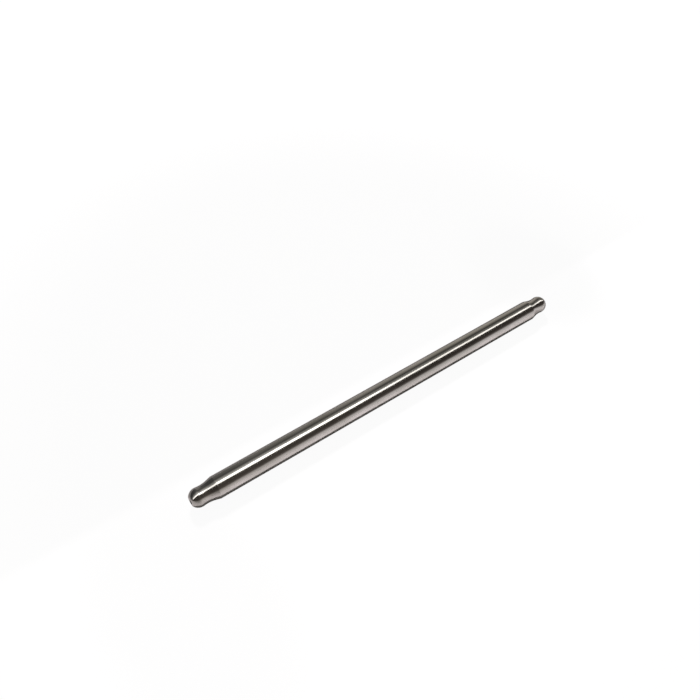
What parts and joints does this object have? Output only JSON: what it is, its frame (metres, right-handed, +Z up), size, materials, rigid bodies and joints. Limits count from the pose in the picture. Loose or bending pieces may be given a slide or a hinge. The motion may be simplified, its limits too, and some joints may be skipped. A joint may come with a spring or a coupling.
{
  "type": "engine pushrod",
  "caption": "Hollow one-piece steel pushrod: a straight ground tube with a necked ball and an oil hole at each end, carrying valve lifter motion to a rocker arm.",
  "frame": {"origin": "middle of the rod, on its axis", "axes": "+X along the rod towards the rocker end, +Z up with the rod lying flat; the two ends are alike"},
  "size_m": [0.193, 0.0094, 0.0096],
  "materials": {
    "ground_steel": "centreless-ground and polished chromoly steel tube, bright, with a faint ring grain"
  },
  "bodies": {
    "root": {"pushrod": "ground_steel"}
  },
  "joints": []
}
